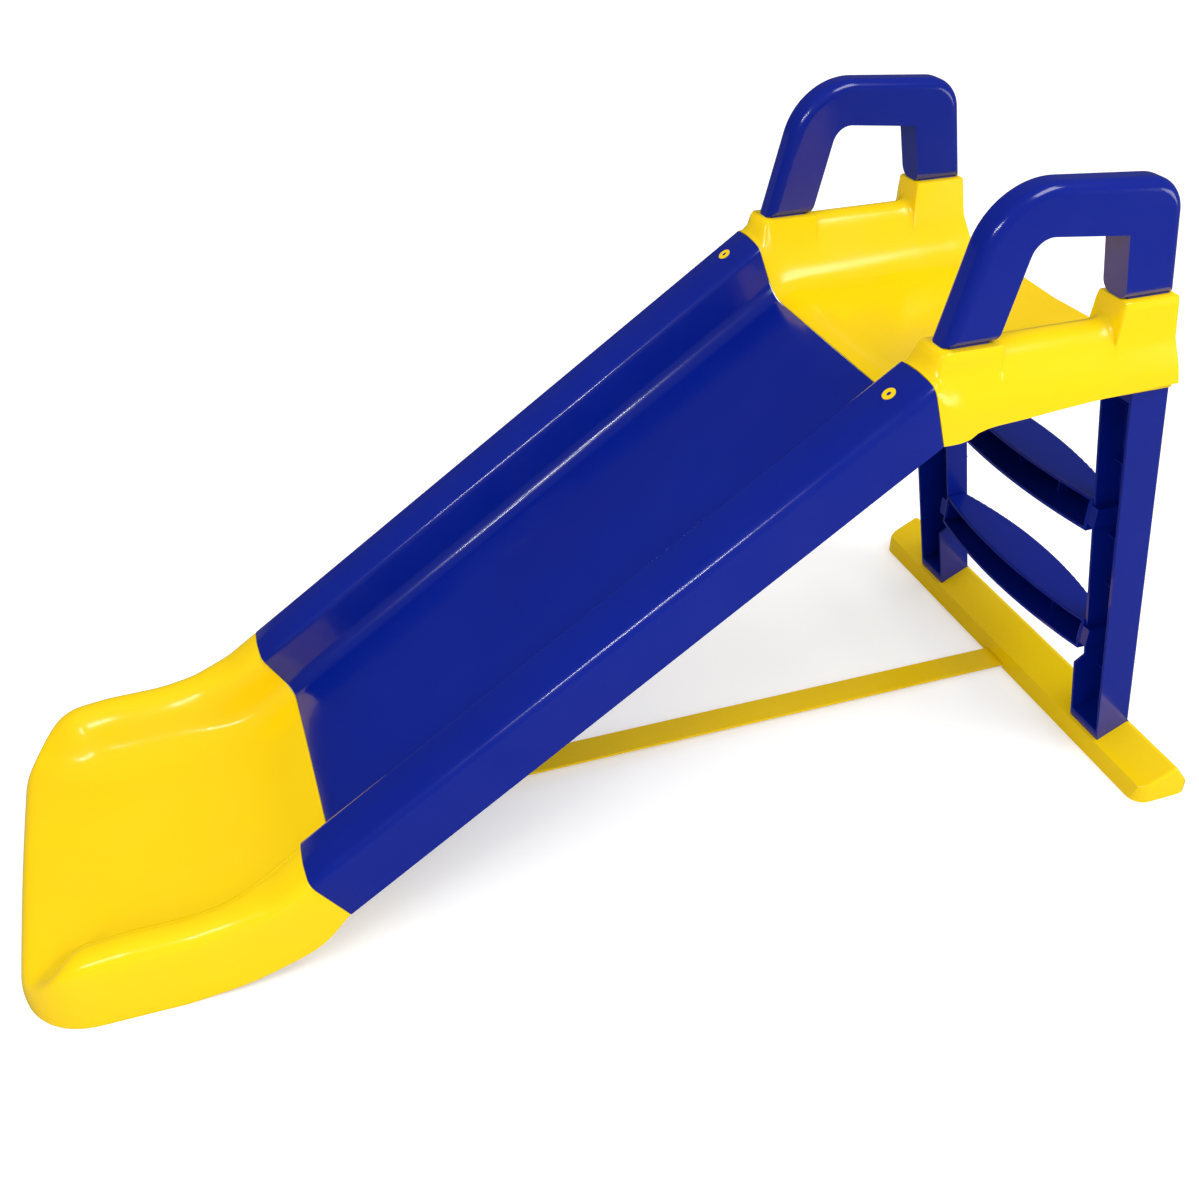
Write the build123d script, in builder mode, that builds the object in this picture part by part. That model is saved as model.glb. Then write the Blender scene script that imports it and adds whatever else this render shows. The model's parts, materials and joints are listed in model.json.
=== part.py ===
from build123d import *
import math
import os

# A toddler's free-standing straight slide, moulded in plastic: a blue chute between a yellow
# platform and a yellow run-out, a leaning two-step ladder on a yellow foot bar, two blue grab
# handles and a flat tie bar along the floor.
# X runs from the exit of the slide towards the ladder, Y across it and Z up, in millimetres.
# The origin is on the floor in the middle of the foot bar. The slide is symmetric about Y = 0.

# Stance
slope = 34.7  # chute, degrees above the floor
lean = 10.9  # ladder, degrees from upright, towards the slide
skin = 4.0  # wall of the large mouldings
gap = 0.5  # play between a tongue or tenon and its pocket

# Chute: heights are measured square to the slope from the crest of the rails
chute_foot_x = -1053.0  # crest of the rails at the run-out joint
chute_foot_z = 138.3
chute_length = 813.7  # along the crest, joint to joint
bed_depth = 58.5
bed_half = 153.0  # to the foot of the inner wall
rail_inner = 168.0
rail_outer = 237.0
skirt_half = 240.5
skirt_depth = 66.0
bed_radius = 22.0
rail_radius = 12.0
head_cut = 15.5  # platform joint plane, degrees from upright
tongue_thick = 3.4

# Run-out
exit_x = -1367.0
exit_corner = 92.0  # corner radius seen from above
bend_start = 43.0  # straight length of bed below the joint
bend_radius = 167.0
foot_tongue = 45.0
lip_start_x = -1330.0  # where the bed starts to roll down to the floor
lip_height = 44.0

# Platform
deck_z = 551.0  # at the front, rising gently to the rear
deck_rise = 1.5  # degrees
wall_z = 627.0
socket_z = 651.0  # rear handle sockets
lip_x = -69.0  # rear edge of the deck
head_tongue = 62.0

# Ladder
foot_half_width = 42.0
foot_rear_edge = (42.0, 7.0)
foot_ridge = (9.5, 48.5)
foot_front_edge = (-38.0, 24.0)
foot_round = 6.0  # rounding of the long edges on top
foot_corner = 20.0  # corner radius seen from above
foot_rim = 5.0  # rounding round the ends
foot_half_length = 318.0
upright_front_x = -34.0  # front face of an upright where it meets the foot bar
upright_base_z = 26.0
upright_depth = 48.0
upright_inner = 163.0
upright_outer_low = 220.0
upright_outer_high = 229.0
upright_top_z = 549.0
upright_wall = 3.5
tenon_inner = 181.0
tenon_outer = 217.0
step_rise = 187.0
step_height = 45.0
step_half = 162.7
step_tenon_half = 175.0
step_end_back = 13.0  # front corners of a tread, behind the front of the uprights

# Handles
handle_inner = 182.5
handle_outer = 219.5
handle_mid = (handle_inner + handle_outer) / 2
handle_thick = handle_outer - handle_inner
handle_wall = 3.5
handle_rim = 12.5  # rounding of the outer rims
rim_step = 5.0  # the hollow narrows this far in from each outer face
tenon_inset = 5.5

# Tie bar
tie_half_width = 20.0
tie_thick = 3.5
tie_low_z = 2.5  # underside at the foot bar
tie_high_z = 12.0  # underside at the run-out
tie_near_x = -8.0
tie_far_x = -1092.0
tie_near_screw = -22.0
tie_far_screw = -1072.0

# Fasteners
lock_along = 778.7  # place of the plastic lock bolts along the crest
lock_y = 203.0
lock_head = 7.5
lock_shank = 5.0
screw_radius = 2.4
screw_head = 5.0
screw_hole = 2.6
washer_radius = 10.0
washer_thick = 2.0

sin_slope = math.sin(math.radians(slope))
cos_slope = math.cos(math.radians(slope))
up_slope = (cos_slope, 0, sin_slope)
sin_lean = math.sin(math.radians(lean))
cos_lean = math.cos(math.radians(lean))
tan_lean = sin_lean / cos_lean

os.makedirs("parts", exist_ok=True)


def on_chute(along, height):
    """X and Z of a point of the centre plane: so far up the slope, so high square to it."""
    x = chute_foot_x + along * cos_slope - height * sin_slope
    z = chute_foot_z + along * sin_slope + height * cos_slope
    return x, z


def tilted_plane(x, z, angle):
    """Section plane across the slide, its normal raised by angle. Its X is Y, its Y points up."""
    a = math.radians(angle)
    return Plane(origin=(x, 0, z), x_dir=(0, 1, 0), z_dir=(math.cos(a), 0, math.sin(a)))


def chute_plane(along):
    """Section plane of the chute, its origin on the crest line."""
    return tilted_plane(*on_chute(along, 0), slope)


def ladder_plane(along):
    """Section plane of the uprights, so far up the lean. Its Y points to the front of the ladder."""
    x = upright_front_x - along * sin_lean
    z = upright_base_z + along * cos_lean
    return Plane(origin=(x, 0, z), x_dir=(0, 1, 0), z_dir=(-sin_lean, 0, cos_lean))


def square_to_chute(along, height, y):
    """Location on the chute with its Z square to the slope, for screws and bosses."""
    x, z = on_chute(along, height)
    return Location(Plane(origin=(x, y, z), x_dir=(0, 1, 0), z_dir=(-sin_slope, 0, cos_slope)))


def mirrored(points):
    """Half outline, centre outwards, completed to the other side of the centre plane."""
    return [(-y, z) for y, z in reversed(points)] + points


def front_x(z):
    """Front face of the uprights at a height."""
    return upright_front_x - (z - upright_base_z) * tan_lean


def rear_x(z):
    """Rear face of the uprights at a height."""
    return front_x(z) + upright_depth / cos_lean


def save(piece, name):
    piece.part.label = name
    export_step(piece.part, f"parts/{name}.step")


# ---------------------------------------------------------------- chute
rail_profile = [
    (bed_half, -bed_depth),
    (rail_inner, 0.0),
    (rail_outer, 0.0),
    (skirt_half, -skirt_depth),
]


def rail_section(plane, drop, thick):
    """Skin of the trough as a face: the profile of the chute lowered by drop, thick deep."""
    with BuildLine() as upper:
        Polyline(*mirrored(rail_profile))
        lows = upper.vertices().filter_by(lambda v: abs(v.Y + bed_depth) < 0.01)
        fillet(lows, radius=bed_radius)
        crests = upper.vertices().filter_by(lambda v: abs(v.Y) < 0.01)
        fillet(crests, radius=rail_radius)
    with BuildSketch(plane) as section:
        with BuildLine():
            add(upper.line)
            offset(amount=drop + thick, side=Side.RIGHT)
        make_face()
        if drop:
            with BuildLine():
                add(upper.line)
                offset(amount=drop, side=Side.RIGHT)
            make_face(mode=Mode.SUBTRACT)
    return section.sketch


head_joint = tilted_plane(*on_chute(chute_length, 0), head_cut)
foot_screw_spots = [(22.0, -105.0), (22.0, 105.0)]
head_screw_spots = [(chute_length - 42.0, -105.0), (chute_length - 42.0, 105.0)]
lock_spots = [(lock_along, -lock_y), (lock_along, lock_y)]
boss_length = gap + tongue_thick

with BuildPart() as slide_chute:
    extrude(rail_section(chute_plane(gap / 2), 0.0, skin), amount=chute_length + 40, dir=up_slope)
    split(bisect_by=head_joint.offset(-gap / 2), keep=Keep.BOTTOM)
    with Locations([square_to_chute(a, 0, y) for a, y in lock_spots]):
        Cylinder(lock_shank + 0.3, 4 * skin, mode=Mode.SUBTRACT)
    # Blind bosses under the bed take the screws of both tongues.
    with Locations(
        [
            square_to_chute(a, -bed_depth - skin - boss_length / 2 + 0.5, y)
            for a, y in foot_screw_spots + head_screw_spots
        ]
    ):
        Cylinder(7, boss_length + 1)
        Cylinder(screw_hole, boss_length + 1, mode=Mode.SUBTRACT)
save(slide_chute, "slide_chute")


def tongue_openings():
    """Clearance in a tongue for the bosses and the lock bolts of the chute."""
    with BuildPart() as openings:
        with Locations(
            [
                square_to_chute(a, -bed_depth - skin - boss_length / 2, y)
                for a, y in foot_screw_spots + head_screw_spots
            ]
        ):
            Cylinder(7 + gap, 3 * boss_length)
        with Locations([square_to_chute(a, -skin, y) for a, y in lock_spots]):
            Cylinder(lock_shank + 0.3, 6 * skin)
    return openings.part


# ---------------------------------------------------------------- run-out


def bed_point(turn):
    """X, Z and tilt of the run-out's bed after a share of the bend, from 0 to 1."""
    start_x, start_z = on_chute(-bend_start, -bed_depth)
    angle = math.radians(slope * (1 - turn))
    x = start_x - bend_radius * (sin_slope - math.sin(angle))
    z = start_z + bend_radius * (cos_slope - math.cos(angle))
    return x, z, slope * (1 - turn)


run_bed_z = bed_point(1.0)[1]  # height of the level bed
# Stations along the bed: place, tilt, and half outline from the bed outwards and down.
run_out_stations = [
    ((*on_chute(-gap / 2, -bed_depth), slope), [(153, 0), (168, 58.5), (237, 58.5), (240.5, -7.5)]),
    (bed_point(0.0), [(153, 0), (169, 58), (236, 57), (240, -16)]),
    (bed_point(0.5), [(153, 0), (175, 58), (232, 55), (237, -30)]),
    (bed_point(1.0), [(153, 0), (180, 57), (227, 54), (233, -60)]),
    ((-1200.0, run_bed_z, 0), [(153, 0), (182, 56), (226, 53), (231, -60)]),
    ((-1255.0, run_bed_z, 0), [(153, 0), (181, 54), (225, 51), (230, -60)]),
    ((-1387.0, run_bed_z, 0), [(158, 0), (184, 34), (222, 32), (229, -60)]),
]


def run_out_body(inset):
    """The run-out without its hollow: its top lowered, and its sides drawn in, by inset."""
    front = exit_x + inset
    roll_z = lip_height - inset
    with BuildPart() as body:
        for (x, z, tilt), outline in run_out_stations:
            (bed, low), (inner, high), (outer, crest), (edge, base) = outline
            shrunk = [
                (bed + inset * 0.8, low - inset),
                (inner + inset * 0.8, high - inset),
                (outer - inset, crest - inset),
                (edge - inset, base - 4 * inset),
            ]
            with BuildSketch(tilted_plane(x, z, tilt)):
                Polygon(*mirrored(shrunk), align=None)
        loft(ruled=True)
        # Seen from the side, the front rolls down to the floor and the skirt clears it.
        with BuildSketch(Plane.XZ):
            with BuildLine():
                ThreePointArc((front, 6), (front + 9, roll_z - 14), (lip_start_x, roll_z))
                Polyline(
                    (lip_start_x, roll_z),
                    (-1321 + inset, 57 - inset),
                    (-1306 + inset, 73 - inset),
                    (-1270 + inset, 90),
                    (-1270 + inset, 400),
                    (-900, 400),
                    (-900, 200),
                    (-1015 + inset, 79 - 3 * inset),
                    (-1049 + inset, 47 - 3 * inset),
                    (-1055 + inset, 40 - 3 * inset),
                    (-1106, 20 - 3 * inset),
                    (-1150, 8 - 3 * inset),
                    (-1200, 0 - 3 * inset),
                    (front, 0 - 3 * inset),
                    (front, 6),
                )
            make_face()
        extrude(amount=400, both=True, mode=Mode.INTERSECT)
        # Seen from above, the exit has rounded corners.
        with BuildSketch(Plane.XY.offset(-60)) as plan:
            with Locations(((front - 800) / 2, 0)):
                Rectangle(-800 - front, 2 * (231 - inset) + 20)
            fillet(plan.vertices().group_by(Axis.X)[0], radius=exit_corner - inset)
        extrude(amount=460, mode=Mode.INTERSECT)
    return body.part


run_out_outer = run_out_body(0.0)
run_out_inner = run_out_body(skin)

with BuildPart() as run_out_ribs:
    with Locations((-1130, 0, 60), (-1200, 0, 50), (-1270, 0, 40)):
        Box(3, 400, 120)
    with Locations((-1200, 130, 40), (-1200, -130, 40)):
        Box(240, 3, 80)
    add(run_out_outer, mode=Mode.INTERSECT)
    # The boss of the tie bar hangs below the skirt.
    with Locations((tie_far_screw, 0, tie_high_z + tie_thick + 18)):
        Cylinder(9, 35)

with BuildPart() as run_out:
    add(run_out_outer)
    add(run_out_inner, mode=Mode.SUBTRACT)
    add(run_out_ribs.part)
    # The tongue slides under the lower end of the chute.
    extrude(
        rail_section(chute_plane(-24), skin + gap, tongue_thick),
        amount=24 + foot_tongue,
        dir=up_slope,
    )
    extrude(rail_section(chute_plane(-24), skin - 1, gap + 2), amount=24 - gap, dir=up_slope)
    add(tongue_openings(), mode=Mode.SUBTRACT)
    with Locations((tie_far_screw, 0, tie_high_z + tie_thick)):
        Cylinder(screw_hole, 40, mode=Mode.SUBTRACT)
save(run_out, "run_out")

# ---------------------------------------------------------------- handles
front_seat_z = wall_z + 0.3
rear_seat_z = socket_z + 0.3
front_leg_x = (-366.0, -309.0)
rear_leg_x = (-164.5, -102.0)
front_tenon_z = 578.0
rear_tenon_z = 606.0
tenon_half_y = handle_thick / 2 - tenon_inset
front_tenon_x = (front_leg_x[0] + front_leg_x[1]) / 2
rear_tenon_x = (rear_leg_x[0] + rear_leg_x[1]) / 2
front_tenon_half_x = (front_leg_x[1] - front_leg_x[0]) / 2 - tenon_inset
rear_tenon_half_x = (rear_leg_x[1] - rear_leg_x[0]) / 2 - tenon_inset
front_top_corner = (-326.5, 785.7)
rear_top_corner = (-125.4, 771.2)
hole_corner = (-284.6, 731.8)


def handle_outline(inset):
    """Side view of a grab handle above its seats, shrunk by inset."""
    with BuildSketch(Plane.XZ) as side:
        with BuildLine() as outer:
            Polyline(
                (rear_leg_x[1], rear_seat_z),
                rear_top_corner,
                front_top_corner,
                (front_leg_x[0], front_seat_z),
                (front_leg_x[1], front_seat_z),
                hole_corner,
                (-179.0, 721.0),
                (rear_leg_x[0], rear_seat_z),
                close=True,
            )
            fillet(outer.vertices().sort_by_distance((*front_top_corner, 0))[0], radius=78)
            fillet(outer.vertices().sort_by_distance((*rear_top_corner, 0))[0], radius=44)
            fillet(outer.vertices().sort_by_distance((*hole_corner, 0))[0], radius=22)
        make_face()
        if inset:
            offset(amount=-inset, kind=Kind.INTERSECTION)
    return side.sketch


def box_between(low, high, mode=Mode.ADD):
    """Box from its low corner to its high corner."""
    middle = [(a + b) / 2 for a, b in zip(low, high)]
    with Locations(tuple(middle)):
        Box(*[b - a for a, b in zip(low, high)], mode=mode)


with BuildPart() as handle:
    extrude(handle_outline(0.0), amount=handle_thick / 2, both=True)
    rims = handle.edges().filter_by(lambda e: abs(abs(e.center().Y) - handle_thick / 2) < 0.01)
    fillet(
        rims.filter_by(
            lambda e: e.center().Z > 740 or e.center().X < -320 or e.center().X > -135
        ),
        radius=handle_rim,
    )
    for x, half, low, top in (
        (front_tenon_x, front_tenon_half_x, front_tenon_z, front_seat_z),
        (rear_tenon_x, rear_tenon_half_x, rear_tenon_z, rear_seat_z),
    ):
        box_between((x - half, -tenon_half_y, low), (x + half, tenon_half_y, top + 2))
    # The hollow in two depths, so that the wall stays even under the round rims.
    for outline_wall, face_wall in (
        (handle_wall, handle_wall + rim_step),
        (handle_wall + rim_step, handle_wall),
    ):
        extrude(
            handle_outline(outline_wall),
            amount=handle_thick / 2 - face_wall,
            both=True,
            mode=Mode.SUBTRACT,
        )
    # The legs are bored out through the tenons, the front one down to a floor for its screw.
    for x, half, low, top in (
        (front_tenon_x, front_tenon_half_x, front_tenon_z + 6, front_seat_z),
        (rear_tenon_x, rear_tenon_half_x, rear_tenon_z - 1, rear_seat_z),
    ):
        bore = half - handle_wall
        width = tenon_half_y - handle_wall
        box_between((x - bore, -width, low), (x + bore, width, top + 6), mode=Mode.SUBTRACT)
    with Locations((front_tenon_x, 0, front_tenon_z)):
        Cylinder(screw_hole, 20, mode=Mode.SUBTRACT)
    with Locations(Location((rear_leg_x[1] - tenon_inset, 0, 632), (0, 90, 0))):
        Cylinder(screw_hole, 20, mode=Mode.SUBTRACT)

with BuildPart() as handle_left:
    with Locations((0, -handle_mid, 0)):
        add(handle.part)
save(handle_left, "handle_left")

with BuildPart() as handle_right:
    with Locations((0, handle_mid, 0)):
        add(handle.part)
save(handle_right, "handle_right")

# ---------------------------------------------------------------- ladder uprights
upright_length = (upright_top_z - upright_base_z) / cos_lean
upright_tenon_z = 594.0
foot_tenon_z = 8.0
foot_tenon_x = (-28.0, 8.0)
foot_tenon_y = (169.0, 213.0)
foot_screw_x = -10.0
foot_screw_y = 190.0
step_tops = (step_rise, 2 * step_rise)
step_tenon_height = 26.0
step_rib_y = (-80, 0, 80)
step_rib_reach = (31, 61)  # from the front face, behind the open front


def upright_body(grow, low, high):
    """Outside of the right upright as a solid, grown by grow, from low to high along the lean."""
    with BuildPart() as body:
        for along in (low, high):
            share = along / upright_length
            outer = upright_outer_low + share * (upright_outer_high - upright_outer_low)
            with BuildSketch(ladder_plane(along)):
                with Locations(((upright_inner + outer) / 2, -upright_depth / 2)):
                    Rectangle(outer - upright_inner + 2 * grow, upright_depth + 2 * grow)
        loft()
    return body.part


def step_tenon(top, grow):
    """X range and Z range of the tenon of a step whose tread is at top, grown by grow."""
    middle = front_x(top - 22) + 24
    return (middle - 15 - grow, middle + 15 + grow), (
        top - 9 - step_tenon_height - grow,
        top - 9 + grow,
    )


with BuildPart() as upright_right:
    add(upright_body(0.0, -12.0, upright_length + 12.0))
    rear_edges = upright_right.edges().filter_by(lambda e: e.length > 400).group_by(Axis.X)
    fillet(rear_edges[-1], radius=5)
    # The channel is open to the front, its inner wall set back between the end blocks.
    for along, outer in (
        (14, upright_outer_low - upright_wall),
        (upright_length - 14, upright_outer_high - upright_wall - 0.5),
    ):
        with BuildSketch(ladder_plane(along)):
            with Locations(((upright_inner + upright_wall + outer) / 2, 4 - upright_depth / 2)):
                Rectangle(outer - upright_inner - upright_wall, upright_depth)
    loft(mode=Mode.SUBTRACT)
    with BuildSketch(Plane.XZ.offset(-(upright_inner - 2))):
        with BuildLine():
            low, high = 116.0, 528.0
            Polyline(
                (front_x(low) - 6, low),
                (front_x(low) + 12, low + 14),
                (front_x(high) + 12, high),
                (front_x(high) - 6, high),
                close=True,
            )
        make_face()
    extrude(amount=-8, mode=Mode.SUBTRACT)
    # Level ends: the foot bar takes the lower one, the platform the upper one.
    box_between((-150, 100, -40), (150, 300, upright_base_z), mode=Mode.SUBTRACT)
    box_between((-300, 100, upright_top_z), (150, 300, 700), mode=Mode.SUBTRACT)
    # Low ribs across the rear wall of the channel.
    for along in (75, 215, 290, 400, 480):
        with BuildSketch(ladder_plane(along)):
            with Locations(((upright_inner + upright_outer_low) / 2, 7 - upright_depth)):
                Rectangle(upright_outer_low - upright_inner - 2, 12)
        extrude(amount=2.5)
    box_between(
        (foot_tenon_x[0], foot_tenon_y[0], foot_tenon_z),
        (foot_tenon_x[1], foot_tenon_y[1], upright_base_z + 6),
    )
    with BuildSketch(Plane.XZ.offset(-tenon_inner)):
        with BuildLine():
            low, high = upright_top_z - 5, upright_tenon_z
            Polyline(
                (front_x(low) + 7, low),
                (rear_x(low) - 7, low),
                (rear_x(high) - 7, high),
                (front_x(high) + 7, high),
                close=True,
            )
        make_face()
    extrude(amount=-(tenon_outer - tenon_inner))
    for top in step_tops:
        (x0, x1), (z0, z1) = step_tenon(top, 0.3)
        box_between((x0, upright_inner - 2, z0), (x1, step_tenon_half + 1, z1), mode=Mode.SUBTRACT)
    # Pilot holes for the screws at both ends.
    with Locations((foot_screw_x, foot_screw_y, foot_tenon_z)):
        Cylinder(screw_hole, 36, mode=Mode.SUBTRACT)
    with Locations(Location((rear_x(575) - 8, handle_mid, 575), (0, 90, 0))):
        Cylinder(screw_hole, 34, mode=Mode.SUBTRACT)
save(upright_right, "ladder_upright_right")

with BuildPart() as upright_left:
    mirror(upright_right.part, about=Plane.XZ)
save(upright_left, "ladder_upright_left")

# ---------------------------------------------------------------- steps


def step_plan(top, inset):
    """Plan of a tread: both long edges bow away from the middle of the step."""
    front = front_x(top)
    with BuildSketch(Plane.XY.offset(top)) as plan:
        with BuildLine():
            half = step_half - inset
            fore = ThreePointArc(
                (front + step_end_back + inset, -half),
                (front - 3 + inset, 0),
                (front + step_end_back + inset, half),
            )
            Line(fore @ 1, (front + 43 - inset, half))
            ThreePointArc(
                (front + 43 - inset, half), (front + 66 - inset, 0), (front + 43 - inset, -half)
            )
            Line((front + 43 - inset, -half), fore @ 0)
        make_face()
    return plan.sketch


def step_body(top):
    """A step with its rear and end walls, its ribs, its bottom flange and its tenons."""
    (x0, x1), (z0, z1) = step_tenon(top, 0.0)
    with BuildPart() as step:
        extrude(step_plan(top, 0.0), amount=step_height, dir=(0, 0, -1))
        fillet(step.edges().group_by(Axis.Z)[-1], radius=2.5)
        # Hollow, and open to the front between the tread and the bottom flange.
        extrude(
            step_plan(top - skin, skin),
            amount=step_height - 2 * skin,
            dir=(0, 0, -1),
            mode=Mode.SUBTRACT,
        )
        with Locations((front_x(top), 0, top - step_height / 2)):
            Box(
                2 * (step_end_back + skin + 1),
                2 * (step_half - skin),
                step_height - 2 * skin,
                mode=Mode.SUBTRACT,
            )
        for y in step_rib_y:
            box_between(
                (front_x(top) + step_rib_reach[0], y - 1.25, top - step_height + 1),
                (front_x(top) + step_rib_reach[1] - abs(y) / 14, y + 1.25, top - 1),
            )
        for side in (-1, 1):
            inner, outer = sorted((side * (step_half - 6), side * step_tenon_half))
            box_between((x0, inner, z0), (x1, outer, z1))
    return step


lower_step = step_body(step_tops[0])
save(lower_step, "lower_step")

upper_step = step_body(step_tops[1])
save(upper_step, "upper_step")

# ---------------------------------------------------------------- platform
deck_front_x = -342.0
socket_side_y = 223.5
block_inner_y = 179.0
block_base_z = 566.0


def platform_shell(inset):
    """The platform without its hollow, its outside and its deck drawn in by inset."""
    drop = 40 if inset else 0
    with BuildPart() as shell:
        with BuildSketch(tilted_plane(-400, 0, 0)) as across:
            Polygon(
                *mirrored(
                    [
                        (238.5 - inset, 520 - drop),
                        (236.5 - inset, 550),
                        (226 - inset, socket_z - inset),
                    ]
                ),
                align=None,
            )
        extrude(amount=340)
        with BuildSketch(Plane.XZ):
            Polygon(
                (-383.5 + inset, 601.6),
                (-377 + inset, 618 - inset / 2),
                (-368 + inset, wall_z - inset),
                (-186 + inset, wall_z - inset),
                (-171 + inset, 632 - inset),
                (-165.5 + inset, 640 - inset),
                (-165.5 + inset, socket_z - inset),
                (-102 - inset, socket_z - inset),
                (-85 - inset + 0.18 * drop, 557 - drop),
                (-182, 554 - drop),
                (-272, 547 - drop),
                (-312, 545 - drop),
                (-330, 538 - drop),
                (-363.6 + inset + 0.277 * drop, 530 - drop),
                align=None,
            )
        extrude(amount=300, both=True, mode=Mode.INTERSECT)
        # The deck and the inner sides of its walls.
        with BuildSketch(tilted_plane(deck_front_x, deck_z - inset, deck_rise)) as trough:
            Polygon(
                *mirrored([(150 + 0.8 * inset, 0), (184 + inset, 76), (184 + inset, 140)]),
                align=None,
            )
            fillet(trough.vertices().group_by(Axis.Y)[0], radius=22)
        extrude(amount=300, mode=Mode.SUBTRACT)
        # The deck rolls over to meet the bed of the chute.
        with BuildSketch(chute_plane(chute_length - 40)) as mouth:
            Polygon(
                *mirrored(
                    [
                        (bed_half + 0.8 * inset, -bed_depth - inset),
                        (rail_inner + inset, 0),
                        (rail_inner + inset + 8, 60),
                    ]
                ),
                align=None,
            )
            fillet(mouth.vertices().group_by(Axis.Y)[0], radius=bed_radius)
        extrude(amount=120, mode=Mode.SUBTRACT)
    return shell.part


platform_outer = platform_shell(0.0)
platform_inner = platform_shell(skin)

with BuildPart() as platform_blocks:
    for low, high in (
        ((-372, block_inner_y, block_base_z), (-303, 240, 640)),
        ((-172, block_inner_y, upright_top_z + 0.5), (-60, 240, 660)),
    ):
        box_between(low, high)
    mirror(about=Plane.XZ)
    with Locations((-200, 0, 520), (-260, 0, 520), (-330, 0, 510)):
        Box(3, 460, 100)
    with Locations((-230, 75, 520), (-230, -75, 520)):
        Box(270, 3, 100)
    add(platform_outer, mode=Mode.INTERSECT)

with BuildPart() as platform_cuts:
    # Pockets of the handles, and the flat reliefs outside them.
    for x, half, low in (
        (front_tenon_x, front_tenon_half_x, front_tenon_z),
        (rear_tenon_x, rear_tenon_half_x, rear_tenon_z),
    ):
        grown = half + 0.3
        box_between(
            (x - grown, handle_mid - tenon_half_y - 0.3, low - 0.5),
            (x + grown, handle_mid + tenon_half_y + 0.3, 700),
        )
    box_between((-373, socket_side_y, 594), (-302, 260, 660))
    box_between((-172, socket_side_y, 631), (-60, 260, 680))
    # Pockets of the ladder uprights.
    with BuildSketch(Plane.XZ.offset(-(tenon_inner - 0.3))):
        with BuildLine():
            low, high = upright_top_z - 5, upright_tenon_z + 0.5
            Polyline(
                (front_x(low) + 6.7, low),
                (rear_x(low) - 6.7, low),
                (rear_x(high) - 6.7, high),
                (front_x(high) + 6.7, high),
                close=True,
            )
        make_face()
    extrude(amount=-(tenon_outer - tenon_inner + 0.6))
    # Screw holes: rear of the handles, front of the handles from below, and the uprights.
    with Locations(
        Location((rear_leg_x[1], handle_mid, 632), (0, 90, 0)),
        Location((rear_x(575), handle_mid, 575), (0, 90, 0)),
    ):
        Cylinder(screw_hole, 30)
    with Locations((front_tenon_x, handle_mid, block_base_z)):
        Cylinder(screw_hole, 40)
    mirror(about=Plane.XZ)

with BuildPart() as platform_tongue:
    # It slides under the upper end of the chute.
    extrude(
        rail_section(chute_plane(chute_length - head_tongue), skin + gap, tongue_thick),
        amount=head_tongue + 40,
        dir=up_slope,
    )
    split(bisect_by=head_joint.offset(5), keep=Keep.BOTTOM)

with BuildPart() as platform:
    add(platform_outer)
    add(platform_inner, mode=Mode.SUBTRACT)
    add(platform_blocks.part)
    # Rear lip of the deck, standing a little over the ladder.
    with BuildSketch(Plane.XZ):
        Polygon((-112, 546), (-74, 548), (lip_x, 553), (-72, 559), (-112, 557), align=None)
    extrude(amount=step_half - 1, both=True)
    add(platform_tongue.part)
    add(platform_cuts.part, mode=Mode.SUBTRACT)
    add(tongue_openings(), mode=Mode.SUBTRACT)
    # The ladder uprights reach up to the underside of the rear blocks.
    for side in (-1, 1):
        inner, outer = sorted((side * (upright_inner - 0.3), side * 229.5))
        with BuildSketch(Plane.XZ.offset(-inner)):
            with BuildLine():
                low, high = upright_top_z - 40, upright_top_z + 0.3
                Polyline(
                    (front_x(low) - 0.3, low),
                    (rear_x(low) + 0.3, low),
                    (rear_x(high) + 0.3, high),
                    (front_x(high) - 0.3, high),
                    close=True,
                )
            make_face()
        extrude(amount=-(outer - inner), mode=Mode.SUBTRACT)
save(platform, "platform")

# ---------------------------------------------------------------- foot bar


def foot_shell(inset):
    """The foot bar as a solid drawn in by inset: a low front edge, a top rising to a ridge."""
    half = foot_half_length - inset
    below = 30.0  # the hollow reaches below the floor
    with BuildPart() as shell:
        with BuildSketch(Plane.XZ) as section:
            Polygon(
                (foot_half_width, -below),
                foot_rear_edge,
                foot_ridge,
                foot_front_edge,
                (-foot_half_width, 0),
                (-foot_half_width, -below),
                align=None,
            )
            if inset:
                offset(amount=-inset, kind=Kind.INTERSECTION)
            fillet(section.vertices().group_by(Axis.Y)[-1], radius=foot_round - inset)
        extrude(amount=half, both=True)
        with BuildSketch(Plane.XY.offset(-below)) as plan:
            RectangleRounded(2 * (foot_half_width - inset), 2 * half, foot_corner - inset)
        extrude(amount=100, mode=Mode.INTERSECT)
        if not inset:
            split(bisect_by=Plane.XY, keep=Keep.TOP)
            rims = shell.edges().filter_by(
                lambda e: abs(e.center().Y) > half - foot_corner and e.bounding_box().min.Z > 5
            )
            fillet(rims, radius=foot_rim)
    return shell.part


foot_outer = foot_shell(0.0)
foot_inner = foot_shell(skin)
upright_sleeve = upright_body(0.3, -12.0, 60.0)

with BuildPart() as foot_blocks:
    for side in (-1, 1):
        inner, outer = sorted((side * (upright_inner - 6), side * (upright_outer_low + 6)))
        box_between((-60, inner, 4), (60, outer, 60))
    with Locations((0, -110, 25), (0, -60, 25), (0, 60, 25), (0, 110, 25), (0, 280, 25)):
        Box(120, 3, 50)
    with Locations((0, -280, 25)):
        Box(120, 3, 50)
    # Rest pad behind the tie bar, and the boss of its screw.
    box_between((-6, -4, 0), (60, 4, 50))
    with Locations((tie_near_screw, 0, 35)):
        Cylinder(9, 56)
    add(foot_outer, mode=Mode.INTERSECT)

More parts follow.
